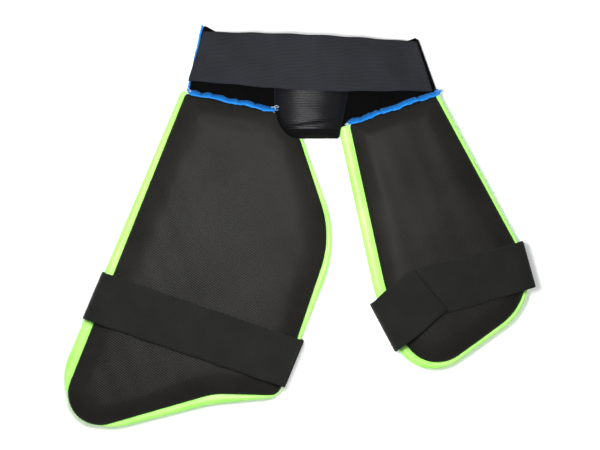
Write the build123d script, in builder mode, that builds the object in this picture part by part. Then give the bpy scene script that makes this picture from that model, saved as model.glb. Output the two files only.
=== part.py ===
"""Cricket dual thigh guard: a padded waist panel with a large outer and a small inner thigh pad.

The guard lies flat with its body side up and its outer face down on Z = 0. X runs from the outer
pad to the inner pad, Y runs up towards the waist, and all sizes are in millimetres.
"""

import os
from math import atan2, cos, degrees, radians, sin

from build123d import *

# ---- Driving dimensions ------------------------------------------------------------------------

# Outlines: each corner is (x, y, corner radius), in order round the piece.
OUTER_SEAM = ((-143.0, 161.9), (-21.0, 136.2))  # waist seam of the outer pad, left end to right end
INNER_SEAM = ((45.5, 116.7), (166.0, 158.5))  # waist seam of the inner pad, left end to right end
OUTER_PAD = (
    (*OUTER_SEAM[0], 3),
    (-326.6, -270.4, 61),
    (-108.3, -215.0, 150),
    (-27.1, -206.9, 22),
    (47.2, -18.3, 139),
    (3.0, 104.0, 12),
    (*OUTER_SEAM[1], 2),
)
INNER_PAD = (
    (*INNER_SEAM[0], 4),
    (88.2, -79.8, 150),
    (137.6, -200.0, 50),
    (296.3, -85.7, 84),
    (*INNER_SEAM[1], 4),
)
PANEL_TOP_LEFT = (-117.0, 241.8)
PANEL_LOW_LEFT = (-135.6, 160.3)
PANEL_CENTRE_LOW = (15.0, 114.6)
PANEL_LOW_RIGHT = (165.5, 158.3)
PANEL_TOP_RIGHT = (141.0, 227.4)
PANEL_SCOOP = (15.0, 196.0)  # lowest point of the curved top edge

# The thigh pads, from the floor up.
BLOCK_HEIGHT = 8.0  # moulded foam blocks on the outer face
BLOCK_INSET = 14.0
BLOCK_GROOVE = 7.0  # flex groove between two blocks
BLOCK_ROUND = 2.5
OUTER_BLOCKS = 5
INNER_BLOCKS = 4
COVER_HEIGHT = 8.0  # green cover with its rolled edge
COVER_FLOOR = 2.0
COVER_WALL = 12.0
COVER_ROUND = 3.5
PLATE_THICKNESS = 2.0
POCKET_CLEARANCE = 0.2
CUSHION_HEIGHT = 14.0
CUSHION_INSET = 8.0
CUSHION_ROUND = 10.0
INNER_CUSHION_SHIFT = 3.5  # the small pad shows a wider rim on its left than on its right
LINING_THICKNESS = 1.0

# The waist panel, its seams and its pouch.
PANEL_FRONT_THICKNESS = 1.0
PANEL_FOAM_THICKNESS = 5.5
PANEL_LINING_THICKNESS = 1.5
SEAM_GAP = 0.4  # free play between the panel and a pad at the seam
WEB_THICKNESS = 2.0
WEB_END_MARGIN = 8.0
RIBBON_WIDTH = 6.0
RIBBON_HEIGHT = 4.0
SIDE_BINDING_WIDTH = 2.5
POUCH_FOOT = 105.5  # y of the pouch's lower end
POUCH_SHOULDER = 162.6  # y where the pouch stops getting wider
POUCH_MOUTH = 205.0
POUCH_FOOT_LEFT, POUCH_FOOT_RIGHT = -3.5, 45.4
POUCH_SHOULDER_LEFT, POUCH_SHOULDER_RIGHT = -30.0, 54.2
POUCH_DEPTH = 16.0
POUCH_WALL = 2.0
POUCH_ROUND = 8.0
POUCH_BACK_THICKNESS = 1.3
POUCH_BINDING_WIDTH = 3.0
POUCH_BINDING_HEIGHT = 11.0
POUCH_CLEARANCE = 2.0

# Straps. Where a strap's two corners, low and high, stand beside an edge: how far along the edge
# from its first corner, and how far outside it.
WAIST_STRAP_LEFT = ((70.0, 1.9), (7.9, -3.0))
WAIST_STRAP_RIGHT = ((5.1, -5.1), (68.1, -3.1))
OUTER_STRAP_LEFT = ((297.2, 2.5), (236.7, 2.5))
OUTER_STRAP_RIGHT = ((15.5, 2.5), (75.8, 3.5))
INNER_STRAP_LEFT = ((75.9, 3.0), (11.6, 9.5))
INNER_STRAP_RIGHT = ((17.6, -6.0), (73.3, 7.0))
# The inner strap is two halves that meet over the pad: (length, direction in degrees), low and high.
INNER_HOOK_EDGES = ((79.3, 39.7), (66.0, 40.1))
INNER_LOOP_EDGES = ((133.0, 196.5), (133.5, 194.6))
STRAP_THICKNESS = 1.5
PATCH_THICKNESS = 0.8  # hook tape or loop tape
STRAP_GAP = 0.3  # free play under a moving strap
ARCH_CLEARANCE = 5.5  # free height between the top of the pouch and the crown of the waist elastic
WAIST_FOOT = 22.0  # flat length at each end of the waist elastic
WAIST_ANCHOR_LENGTH = 16.0
WAIST_PATCH_LENGTH = 34.0
FLAP_CLEARANCE = 1.5  # between a strap's sewn end and the front blocks
KEEPER_FLAP = 34.0  # length of the keeper that lies on the cushion
HOOK_LENGTH = 26.0
HOOK_END_MARGIN = 3.0

# ---- Levels and places worked out from the driving dimensions ------------------------------------

cover_bottom = BLOCK_HEIGHT
plate_bottom = cover_bottom + COVER_FLOOR
core_bottom = plate_bottom + PLATE_THICKNESS
cover_top = cover_bottom + COVER_HEIGHT
cushion_top = cover_top + CUSHION_HEIGHT
panel_top = PANEL_FRONT_THICKNESS + PANEL_FOAM_THICKNESS + PANEL_LINING_THICKNESS
pouch_bottom = panel_top + POUCH_BACK_THICKNESS
anchor_flap = BLOCK_INSET - FLAP_CLEARANCE
keeper_top = cushion_top + STRAP_THICKNESS
outer_strap_bottom = keeper_top + PATCH_THICKNESS + STRAP_GAP + PATCH_THICKNESS
inner_loop_bottom = cushion_top + STRAP_GAP
inner_patch_bottom = inner_loop_bottom + STRAP_THICKNESS
inner_hook_bottom = inner_patch_bottom + PATCH_THICKNESS + STRAP_GAP + PATCH_THICKNESS
waist_left_bottom = panel_top + STRAP_THICKNESS + STRAP_GAP
waist_right_bottom = panel_top + PATCH_THICKNESS + STRAP_GAP + PATCH_THICKNESS



def beside(first, last, place):
    """A point beside the edge from first to last, which has the piece on its left."""
    along, outside = place
    start, direction = Vector(*first[:2]), (Vector(*last[:2]) - Vector(*first[:2])).normalized()
    point = start + direction * along + direction.cross(Vector(0, 0, 1)) * outside
    return point.X, point.Y


def carried(point, edge):
    """The far end of a strap's edge that leaves a point by a length and a direction."""
    length, angle = edge
    return point[0] + length * cos(radians(angle)), point[1] + length * sin(radians(angle))


# A strap is its near end (low, high) and its far end (low, high).
waist_strap = (
    *[beside(PANEL_TOP_LEFT, PANEL_LOW_LEFT, place) for place in WAIST_STRAP_LEFT],
    *[beside(PANEL_LOW_RIGHT, PANEL_TOP_RIGHT, place) for place in WAIST_STRAP_RIGHT],
)
outer_strap = (
    *[beside(OUTER_PAD[0], OUTER_PAD[1], place) for place in OUTER_STRAP_LEFT],
    *[beside(OUTER_PAD[3], OUTER_PAD[4], place) for place in OUTER_STRAP_RIGHT],
)
inner_left = [beside(INNER_PAD[1], INNER_PAD[2], place) for place in INNER_STRAP_LEFT]
inner_right = [beside(INNER_PAD[3], INNER_PAD[4], place) for place in INNER_STRAP_RIGHT]
inner_hook_strap = (*inner_left, *map(carried, inner_left, INNER_HOOK_EDGES))
inner_loop_strap = (*inner_right, *map(carried, inner_right, INNER_LOOP_EDGES))


# ---- Helpers ------------------------------------------------------------------------------------


def keep(part, name):
    """Label a finished piece and write it to its own STEP file."""
    part.label = name
    export_step(part, f"parts/{name}.step")


def outline(corners):
    """A flat face from a closed run of corners, each rounded by its own radius."""
    with BuildSketch() as face:
        with BuildLine():
            FilletPolyline(
                *[(x, y) for x, y, _ in corners], radius=[r for _, _, r in corners], close=True
            )
        make_face()
    return face.sketch


def slab(corners, bottom, height, inset=0.0, shift=0.0, top_round=0.0, bottom_round=0.0):
    """A flat layer with the outline of a pad, drawn in by an inset and moved sideways by a shift."""
    with BuildPart() as layer:
        with BuildSketch(Plane((shift, 0, bottom))):
            add(outline(corners))
            if inset:
                offset(amount=-inset, mode=Mode.REPLACE)
        extrude(amount=height)
        if top_round:
            fillet(layer.faces().sort_by(Axis.Z)[-1].edges(), top_round)
        if bottom_round:
            fillet(layer.faces().sort_by(Axis.Z)[0].edges(), bottom_round)
    return layer.part


def point_along(start, end, distance):
    """The point at a distance from start towards end."""
    start, end = Vector(*start), Vector(*end)
    return start + (end - start).normalized() * distance


def strip(strap, near, far, bottom, thickness, side_margin=0.0):
    """A flat piece of a strap between two distances from its near end."""
    near_low, near_high, far_low, far_high = strap
    width = (Vector(*near_high) - Vector(*near_low)).length
    low_start, low_end = point_along(near_low, far_low, near), point_along(near_low, far_low, far)
    high_start, high_end = point_along(near_high, far_high, near), point_along(near_high, far_high, far)
    share = side_margin / width
    corners = (
        low_start + (high_start - low_start) * share,
        low_end + (high_end - low_end) * share,
        high_end + (low_end - high_end) * share,
        high_start + (low_start - high_start) * share,
    )
    with BuildPart() as piece:
        with BuildSketch(Plane.XY.offset(bottom)):
            with BuildLine():
                Polyline(*[(c.X, c.Y) for c in corners], close=True)
            make_face()
        extrude(amount=thickness)
    return piece.part


def strap_span(strap, bottom):
    """The whole flat length of a strap."""
    near_low, near_high, far_low, far_high = strap
    with BuildPart() as piece:
        with BuildSketch(Plane.XY.offset(bottom)):
            with BuildLine():
                Polyline(near_low, far_low, far_high, near_high, close=True)
            make_face()
        extrude(amount=STRAP_THICKNESS)
    return piece.part


def turned(strap):
    """The same strap read from its other end."""
    near_low, near_high, far_low, far_high = strap
    return far_low, far_high, near_low, near_high


def edge_wrap(first, last, top, flap=0.0):
    """Webbing that comes from under a pad's edge, up round it, and over the cushion by a flap.

    The pad lies to the right of the line from first to last.
    """
    first, last = Vector(*first), Vector(*last)
    along = (last - first).normalized()
    outward = Vector(0, 0, 1).cross(along)
    across = Plane(origin=first, x_dir=outward, z_dir=along)
    under = cover_bottom - STRAP_THICKNESS
    with BuildPart() as wrap:
        with BuildSketch(across):
            with BuildLine():
                if flap:
                    Polyline(
                        (-anchor_flap, under), (0, under), (0, top), (-flap, top),
                        (-flap, top - STRAP_THICKNESS), (-STRAP_THICKNESS, top - STRAP_THICKNESS),
                        (-STRAP_THICKNESS, cover_bottom), (-anchor_flap, cover_bottom), close=True,
                    )
                else:
                    Polyline(
                        (-anchor_flap, under), (0, under), (0, top), (-STRAP_THICKNESS, top),
                        (-STRAP_THICKNESS, cover_bottom), (-anchor_flap, cover_bottom), close=True,
                    )
            make_face()
        extrude(amount=(last - first).length)
    return wrap.part


def pouch_outline(grow=0.0, foot=POUCH_FOOT, mouth=POUCH_MOUTH):
    """The pouch seen from above: narrow at the foot, wide from the shoulder to the mouth."""

    def side(y, foot_x, shoulder_x):
        share = min((y - POUCH_FOOT) / (POUCH_SHOULDER - POUCH_FOOT), 1.0)
        return foot_x + (shoulder_x - foot_x) * share

    with BuildSketch() as face:
        with BuildLine():
            Polyline(
                (side(foot, POUCH_FOOT_LEFT, POUCH_SHOULDER_LEFT) - grow, foot - max(grow, 0)),
                (side(foot, POUCH_FOOT_RIGHT, POUCH_SHOULDER_RIGHT) + grow, foot - max(grow, 0)),
                (POUCH_SHOULDER_RIGHT + grow, POUCH_SHOULDER),
                (POUCH_SHOULDER_RIGHT + grow, mouth),
                (POUCH_SHOULDER_LEFT - grow, mouth),
                (POUCH_SHOULDER_LEFT - grow, POUCH_SHOULDER),
                close=True,
            )
        make_face()
    return face.sketch


# ---- Thigh pads ---------------------------------------------------------------------------------


def front_blocks(corners, seam, count, name):
    """The moulded foam blocks of the outer face: equal bands of the pad between flex grooves."""
    left, right = Vector(*seam[0]), Vector(*seam[1])
    far_corners = [Vector(x, y) for x, y, _ in corners[1:4]]
    down = (sum(far_corners, Vector()) / 3 - (left + right) / 2).normalized()
    turn = degrees(atan2(down.Y, down.X))
    whole = slab(corners, 0, BLOCK_HEIGHT, inset=BLOCK_INSET, bottom_round=BLOCK_ROUND)
    extent = whole.rotate(Axis.Z, -turn).bounding_box()
    pitch = extent.size.X / count
    for number in range(count):
        with BuildPart() as block:
            add(whole)
            with BuildSketch(Plane.XY.rotated((0, 0, turn))):
                with Locations((extent.min.X + pitch * (number + 0.5), extent.center().Y)):
                    Rectangle(pitch - BLOCK_GROOVE, 2 * extent.size.Y)
            extrude(amount=BLOCK_HEIGHT, mode=Mode.INTERSECT)
        keep(block.part, f"{name}_front_block_{number + 1}")


def hinge_web(seam, name):
    """Folded fabric under the seam that joins a pad to the waist panel."""
    left, right = Vector(*seam[0]), Vector(*seam[1])
    plane = Plane(origin=left + Vector(0, 0, cover_bottom - WEB_THICKNESS), x_dir=right - left)
    length = (right - left).length - 2 * WEB_END_MARGIN
    with BuildPart() as web:
        with BuildSketch(plane):
            with Locations((WEB_END_MARGIN, 0)):
                Rectangle(length, BLOCK_INSET - SEAM_GAP, align=(Align.MIN, Align.MAX))
        extrude(amount=WEB_THICKNESS)
    keep(web.part, f"{name}_hinge_web")


def pouch_relief(bottom, height):
    """The space that the pads leave round the pouch."""
    with BuildPart() as relief:
        with BuildSketch(Plane.XY.offset(bottom)):
            add(pouch_outline(grow=POUCH_CLEARANCE))
        extrude(amount=height)
    return relief.part


def thigh_pad(corners, seam, blocks, name, cushion_shift=0.0):
    """All the layers of one thigh pad."""
    front_blocks(corners, seam, blocks, name)
    hinge_web(seam, name)

    pocket = slab(corners, plate_bottom, cover_top - plate_bottom, inset=COVER_WALL)
    with BuildPart() as cover:
        add(slab(corners, cover_bottom, COVER_HEIGHT, top_round=COVER_ROUND, bottom_round=COVER_ROUND))
        add(pocket, mode=Mode.SUBTRACT)
        add(pouch_relief(cover_bottom, COVER_HEIGHT), mode=Mode.SUBTRACT)
    keep(cover.part, f"{name}_cover")

    insert = COVER_WALL + POCKET_CLEARANCE
    keep(slab(corners, plate_bottom, PLATE_THICKNESS, inset=insert), f"{name}_shield_plate")
    keep(slab(corners, core_bottom, cover_top - core_bottom, inset=insert), f"{name}_foam_core")

    foam = slab(
        corners,
        cover_top,
        CUSHION_HEIGHT - LINING_THICKNESS,
        inset=CUSHION_INSET + LINING_THICKNESS,
        shift=cushion_shift,
        top_round=CUSHION_ROUND - LINING_THICKNESS,
    )
    with BuildPart() as cushion_foam:
        add(foam)
        with BuildSketch(Plane.XY.offset(cover_top)):
            add(pouch_outline(grow=POUCH_CLEARANCE + LINING_THICKNESS))
        extrude(amount=CUSHION_HEIGHT, mode=Mode.SUBTRACT)
    keep(cushion_foam.part, f"{name}_cushion_foam")
    with BuildPart() as lining:
        add(
            slab(
                corners,
                cover_top,
                CUSHION_HEIGHT,
                inset=CUSHION_INSET,
                shift=cushion_shift,
                top_round=CUSHION_ROUND,
            )
        )
        add(pouch_relief(cover_top, CUSHION_HEIGHT), mode=Mode.SUBTRACT)
        add(cushion_foam.part, mode=Mode.SUBTRACT)
    keep(lining.part, f"{name}_cushion_lining")


# ---- Waist panel --------------------------------------------------------------------------------


def lifted(point):
    """A seam point moved up off the pad by the seam gap."""
    return point[0], point[1] + SEAM_GAP


def panel_layer(bottom, thickness, name):
    """One layer of the waist panel: two straight seams below and a scooped edge above."""
    with BuildPart() as layer:
        with BuildSketch(Plane.XY.offset(bottom)):
            with BuildLine():
                Polyline(
                    PANEL_TOP_LEFT,
                    lifted(PANEL_LOW_LEFT),
                    lifted(OUTER_SEAM[1]),
                    PANEL_CENTRE_LOW,
                    lifted(INNER_SEAM[0]),
                    lifted(PANEL_LOW_RIGHT),
                    PANEL_TOP_RIGHT,
                )
                ThreePointArc(PANEL_TOP_RIGHT, PANEL_SCOOP, PANEL_TOP_LEFT)
            make_face()
        extrude(amount=thickness)
    keep(layer.part, name)


def bar_along(start, end, width, bottom, height, name, margin=0.0):
    """A straight bar whose right-hand face lies on the line from start to end."""
    start, end = Vector(*start), Vector(*end)
    plane = Plane(origin=start + Vector(0, 0, bottom), x_dir=end - start)
    with BuildPart() as bar:
        with BuildSketch(plane):
            with Locations((margin, 0)):
                Rectangle((end - start).length - 2 * margin, width, align=(Align.MIN, Align.MIN))
        extrude(amount=height)
    keep(bar.part, name)


def pouch_pieces():
    """The ribbed pouch for an abdominal guard: flat back, domed front and a bound foot."""
    foot = POUCH_FOOT + POUCH_BINDING_WIDTH
    with BuildPart() as back:
        with BuildSketch(Plane.XY.offset(panel_top)):
            add(pouch_outline(foot=foot))
        extrude(amount=POUCH_BACK_THICKNESS)
    keep(back.part, "pouch_back")

    with BuildPart() as hollow:
        with BuildSketch(Plane.XY.offset(pouch_bottom)):
            add(pouch_outline(-POUCH_WALL, foot + POUCH_WALL, POUCH_MOUTH + POUCH_WALL))
        extrude(amount=POUCH_DEPTH - POUCH_WALL)
        rim = hollow.faces().sort_by(Axis.Z)[-1].edges().sort_by(Axis.Y)[:-1]
        fillet(rim, POUCH_ROUND - POUCH_WALL)
    with BuildPart() as front:
        with BuildSketch(Plane.XY.offset(pouch_bottom)):
            add(pouch_outline(foot=foot))
        extrude(amount=POUCH_DEPTH)
        fillet(front.faces().sort_by(Axis.Z)[-1].edges().sort_by(Axis.Y)[:-1], POUCH_ROUND)
        add(hollow.part, mode=Mode.SUBTRACT)
    keep(front.part, "pouch_front")

    with BuildPart() as binding:
        with BuildSketch(Plane.XY.offset(panel_top)):
            with Locations(((POUCH_FOOT_LEFT + POUCH_FOOT_RIGHT) / 2, POUCH_FOOT)):
                Rectangle(
                    POUCH_FOOT_RIGHT - POUCH_FOOT_LEFT,
                    POUCH_BINDING_WIDTH,
                    align=(Align.CENTER, Align.MIN),
                )
        extrude(amount=POUCH_BINDING_HEIGHT)
    keep(binding.part, "pouch_binding")


def arch_profile(start, end):
    """The side view of the waist elastic along one of its edges: foot, arch over the pouch, foot."""
    start, end = Vector(*start), Vector(*end)
    span = (end - start).length
    direction = (end - start).normalized()
    side_view = Plane(origin=start, x_dir=direction, z_dir=direction.cross(Vector(0, 0, 1)))
    crown = (span / 2, pouch_bottom + POUCH_DEPTH + ARCH_CLEARANCE)
    with BuildSketch(side_view) as profile:
        with BuildLine():
            lower = [
                (0, waist_left_bottom),
                (WAIST_FOOT, waist_left_bottom),
                crown,
                (span - WAIST_FOOT, waist_right_bottom),
                (span, waist_right_bottom),
            ]
            upper = [(x, z + STRAP_THICKNESS) for x, z in lower]
            Line(lower[0], lower[1])
            ThreePointArc(*lower[1:4])
            Line(lower[3], lower[4])
            Line(lower[4], upper[4])
            Line(upper[4], upper[3])
            ThreePointArc(*upper[3:0:-1])
            Line(upper[1], upper[0])
            Line(upper[0], lower[0])
        make_face()
    return profile.sketch


def waist_elastic():
    """The wide waist elastic, from its sewn left end over the pouch to its hook tab."""
    near_low, near_high, far_low, far_high = waist_strap
    sections = [arch_profile(near_low, far_low).face(), arch_profile(near_high, far_high).face()]
    with BuildPart() as elastic:
        loft(sections=sections, ruled=True)
    keep(elastic.part, "waist_elastic")


# ---- Build --------------------------------------------------------------------------------------

os.makedirs("parts", exist_ok=True)

panel_layer(0, PANEL_FRONT_THICKNESS, "waist_panel_front")
panel_layer(PANEL_FRONT_THICKNESS, PANEL_FOAM_THICKNESS, "waist_panel_foam")
panel_layer(panel_top - PANEL_LINING_THICKNESS, PANEL_LINING_THICKNESS, "waist_panel_lining")
bar_along(
    lifted(PANEL_LOW_LEFT), PANEL_TOP_LEFT, SIDE_BINDING_WIDTH, 0, panel_top, "waist_side_binding"
)
bar_along(
    lifted(PANEL_LOW_LEFT),
    lifted(OUTER_SEAM[1]),
    RIBBON_WIDTH,
    panel_top,
    RIBBON_HEIGHT,
    "outer_seam_ribbon",
    margin=RIBBON_WIDTH,
)
bar_along(
    lifted(INNER_SEAM[0]),
    lifted(PANEL_LOW_RIGHT),
    RIBBON_WIDTH,
    panel_top,
    RIBBON_HEIGHT,
    "inner_seam_ribbon",
    margin=2.5 * RIBBON_WIDTH,
)
pouch_pieces()

waist_elastic()
keep(strip(waist_strap, 0, WAIST_ANCHOR_LENGTH, panel_top, STRAP_THICKNESS), "waist_strap_anchor")
waist_far = turned(waist_strap)
keep(
    strip(waist_far, HOOK_END_MARGIN, WAIST_PATCH_LENGTH, panel_top, PATCH_THICKNESS, HOOK_END_MARGIN),
    "waist_loop_patch",
)
keep(
    strip(
        waist_far,
        HOOK_END_MARGIN,
        WAIST_FOOT,
        waist_right_bottom - PATCH_THICKNESS,
        PATCH_THICKNESS,
        HOOK_END_MARGIN,
    ),
    "waist_hook_tab",
)

thigh_pad(OUTER_PAD, OUTER_SEAM, OUTER_BLOCKS, "outer")
thigh_pad(INNER_PAD, INNER_SEAM, INNER_BLOCKS, "inner", cushion_shift=INNER_CUSHION_SHIFT)

near_low, near_high, far_low, far_high = outer_strap
keep(edge_wrap(near_low, near_high, outer_strap_bottom - STRAP_GAP), "outer_strap_anchor")
keep(edge_wrap(far_high, far_low, keeper_top, flap=KEEPER_FLAP), "outer_strap_keeper")
keep(strap_span(outer_strap, outer_strap_bottom), "outer_strap_elastic")
outer_far = turned(outer_strap)
keep(
    strip(outer_far, HOOK_END_MARGIN, KEEPER_FLAP, keeper_top, PATCH_THICKNESS, HOOK_END_MARGIN),
    "outer_strap_loop",
)
keep(
    strip(
        outer_far,
        HOOK_END_MARGIN,
        HOOK_LENGTH + HOOK_END_MARGIN,
        outer_strap_bottom - PATCH_THICKNESS,
        PATCH_THICKNESS,
        HOOK_END_MARGIN,
    ),
    "outer_strap_hook",
)

near_low, near_high, far_low, far_high = inner_hook_strap
keep(edge_wrap(near_low, near_high, inner_hook_bottom - STRAP_GAP), "inner_hook_anchor")
keep(strap_span(inner_hook_strap, inner_hook_bottom), "inner_hook_elastic")
keep(
    strip(
        turned(inner_hook_strap),
        HOOK_END_MARGIN,
        HOOK_LENGTH,
        inner_hook_bottom - PATCH_THICKNESS,
        PATCH_THICKNESS,
        HOOK_END_MARGIN,
    ),
    "inner_hook_patch",
)

near_low, near_high, far_low, far_high = inner_loop_strap
keep(edge_wrap(near_high, near_low, cushion_top), "inner_loop_anchor")
keep(strap_span(inner_loop_strap, inner_loop_bottom), "inner_loop_elastic")
keep(
    strip(
        turned(inner_loop_strap),
        HOOK_END_MARGIN,
        HOOK_LENGTH + HOOK_END_MARGIN,
        inner_patch_bottom,
        PATCH_THICKNESS,
        HOOK_END_MARGIN,
    ),
    "inner_loop_patch",
)
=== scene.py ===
"""Dual thigh guard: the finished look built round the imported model.

The guard lies with its body side up. X runs from the large pad to the small one and Y runs up
towards the waist. Lengths are millimetres until a mesh is made, which is in metres. The studio is
in metres throughout.
"""

import logging
import math
from dataclasses import dataclass, replace
from enum import Enum

import bmesh
import bpy
import numpy as np
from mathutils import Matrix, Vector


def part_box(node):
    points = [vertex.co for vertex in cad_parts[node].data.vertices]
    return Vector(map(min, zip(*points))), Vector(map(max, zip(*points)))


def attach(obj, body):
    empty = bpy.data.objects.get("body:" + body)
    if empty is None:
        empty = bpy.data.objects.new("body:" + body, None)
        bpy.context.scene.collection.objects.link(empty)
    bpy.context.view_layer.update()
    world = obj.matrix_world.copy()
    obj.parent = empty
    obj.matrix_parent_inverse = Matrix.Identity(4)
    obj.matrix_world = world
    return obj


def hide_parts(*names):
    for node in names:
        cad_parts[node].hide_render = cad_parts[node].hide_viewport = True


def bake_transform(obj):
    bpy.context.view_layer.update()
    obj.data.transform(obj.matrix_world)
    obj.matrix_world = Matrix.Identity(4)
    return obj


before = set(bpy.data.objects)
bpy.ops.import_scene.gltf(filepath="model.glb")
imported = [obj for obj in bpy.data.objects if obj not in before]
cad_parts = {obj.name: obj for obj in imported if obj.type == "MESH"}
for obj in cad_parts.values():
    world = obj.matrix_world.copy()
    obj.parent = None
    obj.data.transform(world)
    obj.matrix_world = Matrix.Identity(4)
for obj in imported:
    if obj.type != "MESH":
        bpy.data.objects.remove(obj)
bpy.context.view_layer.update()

log = logging.getLogger("thigh_guard")
Array = np.ndarray
Point = tuple[float, float]
MM = 0.001
DOWN, UP = -1.0, 1.0


# ---- Finishes -----------------------------------------------------------------------------------


def linear(colour: str) -> tuple[float, ...]:
    """Turn an sRGB hex colour into linear red, green, blue and alpha.

    Args:
        colour: a colour such as "#1C8FD0".

    Returns:
        Four numbers from 0 to 1.
    """
    value = np.array([int(colour[i : i + 2], 16) for i in (1, 3, 5)]) / 255
    bent = np.where(value <= 0.04045, value / 12.92, ((value + 0.055) / 1.055) ** 2.4)
    return (*bent.tolist(), 1.0)


def add_node(tree: bpy.types.NodeTree, kind: str, inputs: dict | None = None,
             **settings: object) -> bpy.types.Node:
    """Add a shader node with its settings, constants and links.

    Args:
        tree: the material's node tree.
        kind: Blender's name for the node.
        inputs: for each socket, a constant or the output that feeds it.
        settings: the node's own properties.

    Returns:
        The new node.
    """
    made = tree.nodes.new(kind)
    for key, value in settings.items():
        setattr(made, key, value)
    for socket, value in (inputs or {}).items():
        if isinstance(value, bpy.types.NodeSocket):
            tree.links.new(value, made.inputs[socket])
        else:
            made.inputs[socket].default_value = value
    return made


class Lay(Enum):
    """What a pattern follows: the guard's own axes, or the length and width of a strap."""

    GUARD = "Object"
    STRAP = "weave"


# Sizes in millimetres: a cloth's loose fibres, and the slow drifts of tone on a cloth and a solid.
FIBRE, CLOTH_DRIFT, SOLID_DRIFT = 1.4, 45.0, 20.0


@dataclass(frozen=True)
class Finish:
    """A material of the guard: its name, the slot it belongs to and its two extreme colours."""

    name: str
    slot: str
    low: str
    high: str

    def skin(self, tree: bpy.types.NodeTree) -> bpy.types.Node:
        """Add the finish's own nodes to a tree, and return its shader."""
        raise NotImplementedError

    def material(self) -> bpy.types.Material:
        """Build the node material when it is first asked for.

        Returns:
            The material, one for each name.
        """
        made = bpy.data.materials.get(self.name)
        if made is None:
            made = bpy.data.materials.new(self.name)
            made.use_nodes = True
            made.node_tree.nodes.clear()
            surface = self.skin(made.node_tree).outputs["BSDF"]
            add_node(made.node_tree, "ShaderNodeOutputMaterial", {"Surface": surface})
        return made


@dataclass(frozen=True)
class Cloth(Finish):
    """A woven, knitted or coated cloth: two sets of ridges, loose fibres and a soft sheen.

    ridge and cross are the spacings of the two sets of threads in millimetres, turn is the angle
    of the first set in degrees, and relief is how far the threads stand out in millimetres.
    balance is how much the second set shows, and mottle how much the tone drifts over the cloth.
    """

    ridge: float
    cross: float
    turn: float = 0.0
    relief: float = 0.25
    rough: float = 0.85
    sheen: float = 0.2
    coat: float = 0.0
    specular: float = 0.3
    mottle: float = 0.25
    balance: float = 0.4
    lay: Lay = Lay.GUARD

    def skin(self, tree: bpy.types.NodeTree) -> bpy.types.Node:
        """Two sets of waves make the threads, and noise adds fibres and a drift of tone.

        Args:
            tree: the material's node tree.

        Returns:
            The shader.
        """
        if self.lay is Lay.STRAP:
            place = add_node(tree, "ShaderNodeUVMap", uv_map=self.lay.value).outputs["UV"]
        else:
            place = add_node(tree, "ShaderNodeTexCoord").outputs[self.lay.value]
        turned = add_node(
            tree, "ShaderNodeMapping",
            {"Vector": place, "Rotation": (0, 0, math.radians(self.turn))},
        ).outputs["Vector"]
        ridge, cross = (
            add_node(
                tree, "ShaderNodeTexWave",
                # Blender's bands repeat each 2 pi / (20 x scale).
                {"Vector": turned, "Scale": math.pi / 10 / (gap * MM), "Distortion": 0.6,
                 "Detail": 1.0, "Detail Scale": 0.6},
                bands_direction=way,
            ).outputs["Fac"]
            for gap, way in ((self.ridge, "Y"), (self.cross, "X"))
        )
        crossed = add_node(
            tree, "ShaderNodeMath", {0: ridge, 1: cross}, operation="MULTIPLY"
        ).outputs[0]
        threads = add_node(
            tree, "ShaderNodeMix", {"Factor": self.balance, "A": ridge, "B": crossed},
            data_type="FLOAT",
        ).outputs["Result"]
        fibre, cloud = (
            add_node(
                tree, "ShaderNodeTexNoise",
                {"Vector": place, "Scale": 1 / (size * MM), "Detail": detail},
            ).outputs["Fac"]
            for size, detail in ((FIBRE, 2.0), (CLOTH_DRIFT, 3.0))
        )
        speckled = add_node(
            tree, "ShaderNodeMix", {"Factor": 0.45, "A": threads, "B": fibre}, data_type="FLOAT"
        ).outputs["Result"]
        tone = add_node(
            tree, "ShaderNodeMix", {"Factor": self.mottle, "A": speckled, "B": cloud},
            data_type="FLOAT",
        ).outputs["Result"]
        ramp = add_node(tree, "ShaderNodeValToRGB", {"Fac": tone})
        low, high = ramp.color_ramp.elements
        low.position, low.color = 0.18, linear(self.low)
        high.position, high.color = 0.72, linear(self.high)
        dull = add_node(
            tree, "ShaderNodeMapRange",
            {"Value": fibre, "To Min": self.rough - 0.08, "To Max": min(self.rough + 0.08, 1.0)},
        ).outputs["Result"]
        relief = add_node(
            tree, "ShaderNodeBump",
            {"Height": speckled, "Strength": 0.8, "Distance": self.relief * MM},
        ).outputs["Normal"]
        return add_node(
            tree, "ShaderNodeBsdfPrincipled",
            {"Base Color": ramp.outputs["Color"], "Roughness": dull, "Normal": relief,
             "Sheen Weight": self.sheen, "Sheen Roughness": 0.5, "Coat Weight": self.coat,
             "Coat Roughness": 0.35, "Specular IOR Level": self.specular},
        )


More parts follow.
